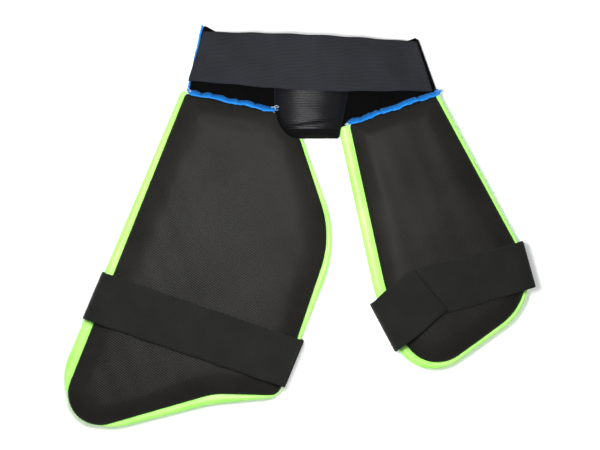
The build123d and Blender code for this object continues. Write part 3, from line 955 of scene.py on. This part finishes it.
@dataclass
class ThighPad:
    """One thigh pad: rolled cover, swollen cushion, moulded front blocks and the fold at its hinge.

    The lime rim is what shows between the outline and the cushion's own line. sides are the
    corners of that line where the sides of the cushion's grid meet, rows and columns are the
    grid's points, slope is the width of the cushion's shoulder and cushion_cap is how far its
    cloth may move.
    """

    name: str
    outline: Outline
    cushion_line: Outline
    blocks: int
    right_of_pouch: bool
    sides: tuple[int, int, int, int]
    rows: int
    columns: int
    slope: float = 17.5
    cushion_cap: float = 0.7

    def build(self) -> None:
        """Build every piece of the pad."""
        self.cover()
        self.inserts()
        self.cushion()
        for number in range(1, self.blocks + 1):
            self.block(number)
        self.hinge()
        self.edge_stitching()

    def cover(self) -> None:
        """The cover with its rolled edge: a profile across the rim carried round the outline.

        A share of 0 is the outline and of 1 the cushion's line, and the rings between are a mean
        of the two. The rim rises as half an oval from the foot of the cushion to the outer edge,
        then turns under the pad and runs flat to the middle.
        """
        roll = ((0.97, 16.2), (0.86, 16.5), (0.7, 17.2), (0.52, 17.5), (0.34, 17.2), (0.18, 16.3),
                (0.06, 14.6), (0.0, 12.4), (0.04, 10.2), (0.18, 8.7), (0.4, 8.1))
        rings = [self.cushion_line.ring(9.0, 16.1), self.cushion_line.ring(2.0, 16.15)]
        rings += [self.outline.ring(0, z) * (1 - share) + self.cushion_line.ring(0, z) * share
                  for share, z in roll]
        rings += [self.outline.ring(inset, PAD_UNDERSIDE) for inset in (9.0, 16.0, 24.0)]
        shell = stacked(rings)
        shell.points = clear_of_pouch(shell.points, self.right_of_pouch, 0.5)
        piece = make(f"{self.name}_rolled_cover", shell, LIME_COVER)
        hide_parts(f"{self.name}_cover")
        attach(piece, f"{self.name}_pad")
        report(piece)

    def inserts(self) -> None:
        """The foam core and the shield plate sealed in the cover: slabs well inside the outline.

        Each keeps its CAD slab's height, and its sides go round the pouch as the cover's do.
        """
        for part, finish in (("foam_core", FOAM), ("shield_plate", SHIELD)):
            node = f"{self.name}_{part}"
            low, high = (corner[2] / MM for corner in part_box(node))
            profile = ((9.4, high), (9.0, high - 0.3), (9.0, low + 0.3), (9.4, low))
            shell = self.outline.lofted(profile)
            shell.points = clear_of_pouch(shell.points, self.right_of_pouch, 4.0)
            piece = make(f"{node}_slab", shell, finish, flat=True)
            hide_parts(node)
            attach(piece, f"{self.name}_pad")
            report(piece)

    def cushion(self) -> None:
        """The cushion: a steep wall, a long soft shoulder and a nearly flat crown, filled with air.

        The height at each point of the grid is the shoulder's at its distance inside the line. A
        skirt under the grid's rim closes the form, and is sewn down while the crown swells.
        """
        # The table is for a shoulder 22 wide, and is scaled to the pad's own slope.
        stretch = self.slope / 22
        shoulder = np.array([(0.0, 18.4), (0.9, 20.3), (3.0, 21.9), (7.0, 23.6), (12.0, 25.3),
                             (17.0, 26.8), (21.0, 27.8), (26.0, 28.4)]) * (stretch, 1)
        shoulder = np.concatenate([shoulder, [(35.0, 28.6), (200.0, 28.6)]])
        flat = self.cushion_line.patch(self.sides, self.rows, self.columns)
        deep, _ = self.cushion_line.depth(flat.reshape(-1, 2))
        height = np.interp(deep, shoulder[:, 0], shoulder[:, 1])
        top = np.column_stack([flat.reshape(-1, 2), height])
        number = np.arange(len(top)).reshape(flat.shape[:2])
        rim = np.concatenate([number[:-1, 0], number[-1, :-1], number[:0:-1, -1], number[0, :0:-1]])
        edge = top[rim]
        _, inward = self.cushion_line.depth(edge[:, :2])
        skirt = [np.column_stack([edge[:, :2] + inward * inset, np.full(len(rim), z)])
                 for inset, z in ((0.0, 17.2), (0.1, 16.3), (1.0, 15.7))]
        lower = len(top) + np.arange(3 * len(rim)).reshape(3, -1)
        middle = np.full(len(rim), len(top) + lower.size)
        fan = np.stack([lower[-1], middle, np.roll(lower[-1], -1)], 1)[:, ::-1]
        loops = np.concatenate([rim[None], lower])
        walls = np.stack([loops[:-1], loops[1:], np.roll(loops[1:], -1, 1),
                          np.roll(loops[:-1], -1, 1)], -1).reshape(-1, 4)
        faces = lattice(*flat.shape[:2]).tolist() + walls.tolist() + fan.tolist()
        points = np.concatenate([top, *skirt, skirt[-1].mean(0, keepdims=True)])
        piece = make(f"{self.name}_cushion", Shell(points, faces), SPACER_MESH)
        swell(piece, self.cushion_cap, sewn=18.5, soften=5)
        moved = clear_of_pouch(points_of(piece.data), self.right_of_pouch, -1.0)
        slope_ends, crown_begins = 24, 28
        crown = np.clip((moved[:, 2] - slope_ends) / (crown_begins - slope_ends), 0, 1)
        moved[:, 2] += crown * ripple(moved[:, 0] + 0.4 * moved[:, 1],
                                      ((0.2, 71, 0.3), (0.12, 29, 2.0)))
        moved[:, 2] += crown * ripple(moved[:, 1] - 0.5 * moved[:, 0], ((0.22, 93, 1.0),))
        put_points(piece.data, np.minimum(moved, [np.inf, np.inf, CUSHION_TOP]))
        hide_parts(f"{self.name}_cushion_foam", f"{self.name}_cushion_lining")
        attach(piece, f"{self.name}_pad")
        report(piece)

    def block(self, number: int) -> None:
        """A moulded front block: its CAD form remeshed evenly, swollen and softened.

        Args:
            number: which block, from 1.
        """
        node = f"{self.name}_front_block_{number}"
        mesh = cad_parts[node].data.copy()
        face_outwards(mesh, merge=1e-5)
        piece = placed(f"{self.name}_moulded_block_{number}", mesh, LIME_COVER)
        swell(piece, 0.8, 3.0, voxel=3.0, soften=10)
        moved = points_of(piece.data)
        moved[:, 2] = np.clip(moved[:, 2], 0.0, PAD_UNDERSIDE + 0.2)
        put_points(piece.data, moved)
        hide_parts(node)
        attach(piece, f"{self.name}_pad")
        report(piece)

    def hinge(self) -> None:
        """Folded cloth under the seam, from waist panel to pad."""
        last, first = (np.array(c[:2]) for c in (self.outline.corners[-1], self.outline.corners[0]))
        way = unit(last - first)
        down = np.array([way[1], -way[0]])
        length, margin = np.linalg.norm(last - first), 8
        run = np.linspace(margin, length - margin, 60)
        line = first + way * run[:, None]
        side = smooth_path(np.array([(-13.2, 7.2), (-4.0, 7.2), (-1.2, 4.0), (0.0, 1.4),
                                     (3.0, 1.1), (11.0, 1.1)]))[::-1]
        middle = np.zeros((len(side), len(run), 3))
        middle[..., :2] = line[None] - down * side[:, None, :1]
        middle[..., 2] = side[:, None, 1] + ripple(run, ((0.15, 17, 0.0),))[None]
        piece = make(f"{self.name}_hinge_fold", strip_shell(middle, 1.2), WEBBING)
        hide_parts(f"{self.name}_hinge_web")
        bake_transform(piece)
        report(piece)

    def edge_stitching(self) -> None:
        """A row of thread round the foot of the cushion, and one on the outer face."""
        rows = (("cushion_stitches", self.cushion_line.ring(-0.8, 16.45), UP, LIME_THREAD),
                ("front_stitches", self.outline.ring(8.5, PAD_UNDERSIDE - 0.05), DOWN,
                 LIME_THREAD))
        for label, ring, way, thread in rows:
            ring = clear_of_pouch(ring, self.right_of_pouch, 1.0)
            shell = stitch_shell(np.concatenate([ring, ring[:1]]), (0, 0, way))
            piece = make(f"{self.name}_{label}", shell, thread)
            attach(piece, f"{self.name}_pad")
            report(piece)


@dataclass
class WaistPanel:
    """The padded waist panel, its blue side piping and the ruffled ribbons on its two seams.

    tape_width is not used.
    """

    body: str = "waist"
    tape_width: float = 10.2

    def build(self) -> None:
        """Build the panel, the piping, the ribbons and their frayed ends."""
        self.panel()
        self.piping()
        self.ribbon("outer_seam_ruffle", "outer_seam_ribbon", (-134.8, 160.9), (-29.0, 138.6), 3)
        self.ribbon("inner_seam_ruffle", "inner_seam_ribbon", (56.0, 122.6), (169.2, 161.4), 8)

    def panel(self) -> None:
        """A thin padded form with gathers that fade away from the lower seams."""
        profile = [(6.0, 0.1), (1.6, 0.5), (0.3, 2.0), (0.0, 4.0), (0.4, 6.0), (1.8, 7.4),
                   (6.0, 7.8)]
        piece = make("waist_panel", PANEL.lofted(profile), PANEL_CLOTH)
        swell(piece, 0.5, 2.0, voxel=4.0)
        points = PANEL.fitted(points_of(piece.data), profile, 7.0)
        # Where the two lower seams are at each x: one falls to the right and the other rises.
        seam = np.where(points[:, 0] < 15, 136.6 - 0.2095 * (points[:, 0] + 21),
                        117.1 + 0.3467 * (points[:, 0] - 45.5))
        gather = ripple(points[:, 0], ((0.9, 11.5, 0.4), (0.55, 7.3, 1.9), (0.4, 19, 0.0)))
        fade_length, mid_height, highest = 14, 4, 9.2
        fade = np.exp(-np.clip(points[:, 1] - seam, 0, None) / fade_length)
        gather = gather * (fade * (points[:, 2] > mid_height))
        points[:, 2] = np.clip(points[:, 2] + gather, 0, highest)
        put_points(piece.data, points)
        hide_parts("waist_panel_front", "waist_panel_foam", "waist_panel_lining")
        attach(piece, self.body)
        report(piece)

    def piping(self) -> None:
        """Blue tape folded round the panel's left edge: a rounded U section along a wavy line."""
        start, end = np.array((-136.2, 160.2, 4.7)), np.array((-117.9, 241.0, 4.7))
        share = np.linspace(0, 1, 90)[:, None]
        path = start + (end - start) * share
        path[:, 0] += ripple(share[:, 0] * 83, ((0.2, 27, 0.5), (0.08, 11, 2.0)))
        turn = np.linspace(0, 2 * np.pi, 18, endpoint=False)
        section = np.stack([1.35 * np.cos(turn), 4.5 * np.sign(np.sin(turn))
                            * np.abs(np.sin(turn)) ** 0.7], 1)
        side = np.array((end[1] - start[1], start[0] - end[0], 0.0))
        piece = make("waist_side_piping", tube_shell(path, section, side), BLUE_SATIN)
        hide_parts("waist_side_binding")
        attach(piece, self.body)
        report(piece)

    def ribbon(self, name: str, node: str, first: Point, last: Point, seed: int) -> None:
        """A ruffled ribbon: an arched strip whose line, width and height waver along the seam.

        Args:
            name: the piece's name.
            node: the CAD node that it stands for.
            first: its left end.
            last: its right end.
            seed: start of the random folds.
        """
        first, last = np.array(first, float), np.array(last, float)
        length = float(np.linalg.norm(last - first))
        way = unit(last - first)
        left = np.array([-way[1], way[0]])
        chance = np.random.default_rng(seed)
        run = np.linspace(0, length, int(length / 0.7))
        across = np.linspace(-1, 1, 13)
        drift = ripple(run, ((0.7, 41, seed), (0.3, 15.5, 1.3 * seed), (0.1, 6.8, 0.7)))
        width = 3.5 + ripple(run, ((0.25, 17, 2.0 + seed), (0.12, 7.1, 0.4)))
        height = 1.5 + ripple(run, ((0.45, 12.5, seed), (0.3, 6.7, 1.0)))
        for at in chance.uniform(8, length - 8, 4):  # sharp tucks where the tape was caught
            tuck = np.exp(-((run - at) / 1.6) ** 2)
            width, height, drift = width * (1 - 0.2 * tuck), height + 0.6 * tuck, drift - 0.6 * tuck
        tip = np.clip(np.minimum(run, length - run) / 3.0, 0.35, 1)
        flat = first + way * run[:, None] + left * drift[:, None]
        middle = np.zeros((len(run), len(across), 3))
        reach = (width * tip)[:, None, None] * across[None, :, None]
        middle[..., :2] = flat[:, None] + left * reach
        lift = (height * tip)[:, None] * np.sqrt(np.clip(1 - across**2, 0, 1))[None]
        frill = ripple(run[:, None] + 2 * across[None], ((0.3, 4.6, 0.2),)) * across[None] ** 2
        # The lower edge lies on the foot of the cushion and the upper one on the panel.
        low_edge, high_edge = 23.2, PANEL_TOP + 1.3
        lean = low_edge + (high_edge - low_edge) * ((across + 1) / 2) ** 1.6
        middle[..., 2] = lean[None] + lift + frill
        piece = make(name, strip_shell(middle, 0.7), BLUE_SATIN)
        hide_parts(node)
        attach(piece, self.body)
        frays = self.frays(f"{name}_frays", flat, way, left, chance)
        report(piece)

    def frays(self, name: str, line: Array, way: Array, left: Array,
              chance: np.random.Generator) -> bpy.types.Object:
        """Loose fibres at the ribbon's two cut ends: thin bars along short curved paths.

        Args:
            name: the piece's name.
            line: the ribbon's own line.
            way: its direction.
            left: the direction across it.
            chance: where the random numbers come from.

        Returns:
            The new piece.
        """
        shells = []
        share = np.linspace(0, 1, 9)[:, None]
        turn = np.linspace(0, 2 * np.pi, 5, endpoint=False)
        section = 0.24 * np.stack([np.cos(turn), np.sin(turn)], 1)
        for number in range(16):
            outward = -1 if number % 2 else 1
            end = line[0] if number % 2 else line[-1]
            root = np.array([*(end - outward * way * chance.uniform(0, 7)
                               + left * chance.uniform(-2.6, 2.6)), chance.uniform(17.0, 19.5)])
            aim = np.array([*(outward * way * chance.uniform(2, 6)
                              + left * chance.uniform(-5.5, 3.0)), chance.uniform(-0.6, 0.3)])
            bow = np.array([*(left * chance.uniform(-2.5, 2.5)), chance.uniform(0.2, 1.0)])
            path = root + aim * share + bow * 4 * share * (1 - share)
            shells.append(tube_shell(path, section, np.cross(aim, (0, 0, 1))))
        piece = make(name, joined(shells), PALE_THREAD)
        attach(piece, self.body)
        return piece


@dataclass
class Pouch:
    """The ribbed pouch: a domed knit shell open towards the waist, bound at its foot.

    depth is the height of the dome and toe how far it takes to rise from the foot. length is not
    used.
    """

    depth: float = 15.6
    toe: float = 24.0
    length: float = 112.0

    def surface(self, across: Array, from_foot: Array, lift: float = 0.0) -> Array:
        """Points of the dome.

        The height is the depth times half an oval across, times a quarter oval that rises from
        the foot, less a soft fold near the foot.

        Args:
            across: share of the width, -1 at the left and 1 at the right.
            from_foot: distance from the foot.
            lift: distance added outwards.

        Returns:
            A grid of points, rows along the pouch.
        """
        u, d = np.meshgrid(across, from_foot)
        left, right = pouch_sides(POUCH_FOOT + d)
        x = (left + right) / 2 + (right - left) / 2 * u
        toe = np.sqrt(np.clip(1 - (1 - np.clip(d / self.toe, 0, 1)) ** 2, 0, 1))
        round_it = np.clip(1 - np.abs(u) ** 2.5, 0, 1) ** 0.62
        fold = -1.5 * np.exp(-(((d - 15 - 4 * u) / 3.0) ** 2)) * (1 - u**2)
        fold += 0.5 * np.sin(d / 4.2 + 2.2 * u) * np.exp(-(((d - 24) / 16) ** 2))
        z = PANEL_TOP + 1.9 + (self.depth * toe + fold * toe) * round_it + lift
        return np.stack([x, POUCH_FOOT + d, z], -1)

    def build(self) -> None:
        """Build the shell and the tape at its foot."""
        across = np.sin(np.linspace(-np.pi / 2, np.pi / 2, 61))
        along = np.concatenate([np.linspace(0.4, 10, 24), np.linspace(10.5, 98.5, 150)])
        middle = self.surface(across, along)
        shell = strip_shell(middle, 1.6)
        shell.weave = shell.weave[:, ::-1].copy()
        piece = make("pouch_shell", shell, RIB_KNIT)
        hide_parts("pouch_front")
        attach(piece, "waist")
        report(piece)
        self.foot_tape()

    def foot_tape(self) -> None:
        """Tape folded over the foot: it follows the dome for a short way and then turns under."""
        across = np.linspace(-0.97, 0.97, 49)
        over = self.surface(across, np.linspace(9.6, 0.5, 14), 1.1)
        turn = over[-1] + np.array((0, -1.3, -0.8))
        under = np.stack([turn, turn * (1, 1, 0) + (0, 0.2, PANEL_TOP + 1.0),
                          turn * (1, 1, 0) + (0, 1.9, PANEL_TOP + 0.5)])
        middle = np.concatenate([over, under])
        piece = make("pouch_foot_tape", strip_shell(middle, 1.0), TAPE_CLOTH)
        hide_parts("pouch_binding")
        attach(piece, "waist")
        report(piece)


@dataclass
class StrapBand:
    """A flat elastic strap that is fixed at its near end and free at its far end.

    near and far are the low and high corners of the two ends, and side_view is the strap seen from
    its side, as (distance from the near end, height). nodes are the CAD nodes it stands for.
    turn_z is not used. bulge is how far its low and high edges bow out, waver is how far it
    wavers in height and sideways, and seam_rows are the distances of its rows of stitches from the
    far end. Its stations no higher than under_pad are taken to lie below a pad.
    """

    name: str
    near: tuple[Array, Array]
    far: tuple[Array, Array]
    side_view: tuple[Point, ...]
    nodes: tuple[str, ...]
    fixed_body: str
    moving_body: str | None
    finish: Cloth
    turn_z: tuple[float, float] = (0.0, 0.0)
    thickness: float = 1.5
    bulge: tuple[float, float] = (0.0, 0.0)
    waver: tuple[float, float] = (0.3, 0.35)
    seam_rows: tuple[float, ...] = ()
    under_pad: float = 12.0

    def middle(self) -> Array:
        """The strap's middle surface.

        The side view gives a distance from the near end and a height at each station. Below the
        pad the distance runs square to the end, and above it runs along the strap, with both long
        edges bowed by their own bulge and a slight waver in height.

        Returns:
            Rows of points along the strap, columns across it.
        """
        view = even_path(smooth_path(np.array(self.side_view, float)), step=1.6)
        run, z = view[:, 0], view[:, 1]
        low, high = (np.array(p, float) for p in self.near)
        far_low, far_high = (np.array(p, float) for p in self.far)
        length = (np.linalg.norm(far_low - low) + np.linalg.norm(far_high - high)) / 2
        across = np.linspace(0, 1, 25)
        near = low + (high - low) * across[:, None]
        far = far_low + (far_high - far_low) * across[:, None]
        edge = unit(high - low)
        inward = np.array([edge[1], -edge[0]])
        inward = inward * np.sign(inward @ (far.mean(0) - near.mean(0)))
        top = near[None] + (far - near)[None] * (run / length)[:, None, None]
        under = near[None] + inward * run[:, None, None]
        above = (z > self.under_pad)[:, None, None] | (self.fixed_body == "waist")
        flat = np.where(above, top, under)
        bow = np.sin(np.pi * np.clip(run / length, 0, 1)) ** 1.6
        shift = (self.bulge[1] * across[None] - self.bulge[0] * (1 - across)[None]) * bow[:, None]
        sway = self.waver[1] * ripple(run[:, None] + 40 * across[None], ((1, 47, 0.4),))
        shift = shift + sway * np.clip(run / 30, 0, 1)[:, None]
        flat = flat + edge * shift[..., None]
        # The waver in height fades out over its last stretch towards each held end.
        near_hold, far_hold, fade = 12, 30, 25
        loose = np.clip((run - near_hold) / fade, 0, 1)
        loose = loose * np.clip((length - far_hold - run) / fade, 0, 1)
        waves = ripple(run[:, None] + 55 * across[None], ((self.waver[0], 63, 1.0),
                                                          (self.waver[0] * 0.5, 27, 0.2)))
        height = np.broadcast_to(z[:, None], flat.shape[:2]) + waves * loose[:, None]
        return np.concatenate([flat, height[..., None]], -1)

    def build(self) -> None:
        """Build the strap and its rows of stitches, and attach it to its fixed body if none moves
        it.
        """
        middle = self.middle()
        piece = make(self.name, strip_shell(middle, self.thickness), self.finish)
        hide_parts(*self.nodes)
        if self.moving_body:
            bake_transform(piece)
        else:
            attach(piece, self.fixed_body)
        centre_line = middle[:, middle.shape[1] // 2]
        self.stitching(middle, reach_along(centre_line))
        report(piece)

    def stitching(self, middle: Array, reach: Array) -> list[bpy.types.Object]:
        """Rows of thread across the strap.

        Args:
            middle: the strap's middle surface.
            reach: the distance along it at each of its rows.

        Returns:
            One piece with all the rows, or none.
        """
        if not self.seam_rows:
            return []
        shells = []
        for back in self.seam_rows:
            row = int(np.argmin(np.abs(reach - (reach[-1] - back))))
            line = middle[row, 1:-1] + (0, 0, self.thickness / 2 + 0.12)
            shells.append(stitch_shell(line, (0, 0, UP), pitch=3.6, length=2.6, radius=0.3))
        piece = make(f"{self.name}_stitches", joined(shells), BLACK_THREAD)
        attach(piece, self.moving_body or self.fixed_body)
        return [piece]


def round_edge(top: float, length: float, drop: float = 16.0) -> tuple[Point, ...]:
    """Side view of a strap that comes from under a pad, up round its edge and over the cushion."""
    return ((12.0, 7.2), (1.0, 7.2), (-0.4, 8.6), (-0.4, 20.0), (0.6, 25.6), (4.6, top - 3.4),
            (drop, top - 0.3), (drop + 9, top), (length * 0.5, top), (length, top))


def strap_set() -> list[StrapBand]:
    """The guard's four strap pieces and the outer strap's keeper.

    An end is placed from an edge of its pad or of the panel, by a distance along that edge and
    one out from it. The free ends of the inner pad's two bands are placed from their sewn ends, by
    a length and a direction.

    Returns:
        The pieces, in the order in which they are built.
    """
    outer, inner = OUTER_PAD.corners, INNER_PAD.corners
    waist_near = (beside(PANEL.corners[0], (-135.6, 160.3), 70.0, 1.9),
                  beside(PANEL.corners[0], (-135.6, 160.3), 7.9, -3.0))
    waist_far = (beside((165.5, 158.3), PANEL.corners[6], 5.1, -5.1),
                 beside((165.5, 158.3), PANEL.corners[6], 68.1, -3.1))
    waist_length = float(np.linalg.norm(np.add(*waist_far) - np.add(*waist_near))) / 2
    arch = [(float(s), 10.6 + 20.9 * (1 - ((s - waist_length / 2) / (waist_length / 2 - 22)) ** 2))
            for s in np.linspace(24, waist_length - 24, 21)]
    outer_near = (beside(outer[0], outer[1], 297.2, 1.2), beside(outer[0], outer[1], 236.7, 1.2))
    outer_far = (beside(outer[3], outer[4], 15.5, 2.5), beside(outer[3], outer[4], 75.8, 3.5))
    hook_near = (beside(inner[1], inner[2], 75.9, 3.0), beside(inner[1], inner[2], 11.6, 9.5))
    loop_near = (beside(inner[3], inner[4], 17.6, -7.6), beside(inner[3], inner[4], 73.3, 4.8))
    hook_far = (carried(hook_near[0], 79.3, 39.7), carried(hook_near[1], 66.0, 40.1))
    loop_far = (carried(loop_near[0], 133.0, 196.5), carried(loop_near[1], 133.5, 194.6))
    outer_length = float(np.linalg.norm(np.add(*outer_far) - np.add(*outer_near))) / 2
    return [
        StrapBand("waist_belt", waist_near, waist_far,
                  ((16.0, 8.7), (2.0, 8.7), (-0.6, 9.0), (-0.6, 10.3), (2.0, 10.55), (18.0, 10.6),
                   *arch, (waist_length - 18, 10.6), (waist_length, 10.6)),
                  ("waist_elastic", "waist_strap_anchor"), "waist", "waist_strap", WAIST_ELASTIC,
                  turn_z=(8.95, 10.2), bulge=(6.8, 0.6), waver=(0.35, 0.4), seam_rows=(4.5, 7.0)),
        StrapBand("outer_thigh_strap", outer_near, outer_far, round_edge(34.1, outer_length),
                  ("outer_strap_elastic", "outer_strap_anchor"), "outer_pad", "outer_strap",
                  PAD_ELASTIC, turn_z=(21.0, 30.0), waver=(0.25, 0.35), seam_rows=(3.0,)),
        StrapBand("outer_thigh_keeper", outer_far[::-1], outer_near[::-1],
                  ((12.0, 7.2), (1.0, 7.2), (0.0, 8.6), (0.0, 27.0), (1.2, 30.2), (3.4, 30.7),
                   (10.0, 30.7), (34.0, 30.7)),
                  ("outer_strap_keeper",), "outer_pad", None, PAD_ELASTIC, waver=(0.0, 0.0)),
        StrapBand("inner_hook_band", hook_near, hook_far, round_edge(34.4, 72.6),
                  ("inner_hook_elastic", "inner_hook_anchor"), "inner_pad", "inner_hook_strap",
                  PAD_ELASTIC, turn_z=(21.0, 30.0), waver=(0.15, 0.2), bulge=(1.2, 1.5)),
        StrapBand("inner_loop_band", loop_near, loop_far, round_edge(31.0, 133.2, 12.0),
                  ("inner_loop_elastic", "inner_loop_anchor"), "inner_pad", "inner_loop_strap",
                  PAD_ELASTIC, turn_z=(19.0, 27.0), waver=(0.15, 0.4), seam_rows=(3.0,)),
    ]


def inner_loop_patch() -> None:
    """Loop tape on the lower half of the inner strap, cut to what its upper half covers."""
    low = np.array([(153.6, -108.4), (171.5, -100.6)])
    high = np.array([(139.0, -59.5), (141.2, -58.6)])
    rows, columns, height = 22, 14, 32.3
    across = np.linspace(0, 1, columns)[None, :, None]
    along = np.linspace(0, 1, rows)[:, None, None]
    left, right = (low[k] + (high[k] - low[k]) * along for k in (0, 1))
    middle = np.concatenate(
        [left + (right - left) * across, np.full((rows, columns, 1), height)], -1)
    piece = make("inner_loop_tape", strip_shell(middle, 0.8), LOOPS)
    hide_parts("inner_loop_patch")
    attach(piece, "inner_loop_strap")
    report(piece)


@dataclass
class Studio:
    """A pale floor, three soft lights and a camera that looks straight down, in metres.

    reach is half the floor's side, and drop is how far below the guard it lies. The camera looks
    at centre, and sees view_width at the height level.
    """

    reach: float = 3.0
    drop: float = 0.0006
    lens: float = 150.0
    view_width: float = 0.72
    centre: Point = (-0.0006, 0.0006)
    level: float = 0.016

    def build(self) -> None:
        """Place the floor, the lights and the camera."""
        self.floor()
        self.lamp("overhead", (-0.09, 0.05, 0.8), 0.26, 9.8)
        self.lamp("left", (-1.4, 0.7, 1.2), 1.2, 6)
        self.lamp("right", (1.4, 0.5, 1.3), 1.2, 5)
        world = bpy.data.worlds.new("studio")
        bpy.context.scene.world = world
        world.use_nodes = True
        world.node_tree.nodes["Background"].inputs["Color"].default_value = linear("#F4F6FA")
        world.node_tree.nodes["Background"].inputs["Strength"].default_value = 0.24
        bpy.context.scene.view_settings.view_transform = "Standard"
        self.camera()

    def floor(self) -> None:
        """A wide pale sheet just under the guard, of matt white paper that also glows a little."""
        mesh = bpy.data.meshes.new("floor")
        corners = [(x * self.reach, y * self.reach, -self.drop)
                   for x, y in ((-1, -1), (1, -1), (1, 1), (-1, 1))]
        mesh.from_pydata(corners, [], [(0, 1, 2, 3)])
        paint = bpy.data.materials.new("matt_white_paper")
        paint.use_nodes = True
        skin, white = paint.node_tree.nodes["Principled BSDF"], linear("#F6F6F6")
        for socket, value in (("Base Color", white), ("Roughness", 0.9),
                              ("Emission Color", white), ("Emission Strength", 0.3)):
            skin.inputs[socket].default_value = value
        mesh.materials.append(paint)
        made = bpy.data.objects.new("floor", mesh)
        bpy.context.scene.collection.objects.link(made)

    def lamp(self, name: str, place: tuple[float, float, float], size: float, power: float) -> None:
        """A square soft light that faces the guard's middle.

        Args:
            name: the light's name.
            place: where it is.
            size: its side.
            power: its power in watts.
        """
        light = bpy.data.lights.new(name, "AREA")
        light.size, light.energy = size, power
        made = bpy.data.objects.new(name, light)
        made.location = place
        aim = -np.array(place)
        made.rotation_euler = (math.atan2(math.hypot(*aim[:2]), -aim[2]), 0,
                               math.atan2(aim[1], aim[0]) - math.pi / 2)
        bpy.context.scene.collection.objects.link(made)

    def camera(self) -> None:
        """A long lens straight above, so that near and far parts keep their size."""
        view = bpy.data.cameras.new("overhead")
        view.lens, view.sensor_width = self.lens, 36.0
        view.clip_end = 20.0
        made = bpy.data.objects.new("camera", view)
        distance = self.view_width * self.lens / view.sensor_width
        made.location = (*self.centre, distance + self.level)
        bpy.context.scene.collection.objects.link(made)
        bpy.context.scene.camera = made


def dress_nodes() -> None:
    """Give each CAD node the finish for the end of its name, or loop tape's if none is listed."""
    for name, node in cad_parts.items():
        finish = next((f for ending, f in NODE_FINISHES.items() if name.endswith(ending)), LOOPS)
        if not node.data.materials:
            node.data.materials.append(None)
        for slot in node.material_slots:
            slot.material = finish.material()


def main() -> None:
    """Build the guard in order."""
    logging.basicConfig(level=logging.INFO, format="%(message)s")
    Studio().build()
    dress_nodes()
    ThighPad("outer", OUTER_PAD, OUTER_CUSHION, blocks=5, right_of_pouch=False,
             sides=(0, 1, 3, 8), rows=94, columns=54).build()
    ThighPad("inner", INNER_PAD, INNER_CUSHION, blocks=4, right_of_pouch=True,
             sides=(0, 2, 3, 4), rows=72, columns=38).build()
    WaistPanel().build()
    Pouch().build()
    for strap in strap_set():
        strap.build()
    inner_loop_patch()


if __name__ == "__main__":
    main()
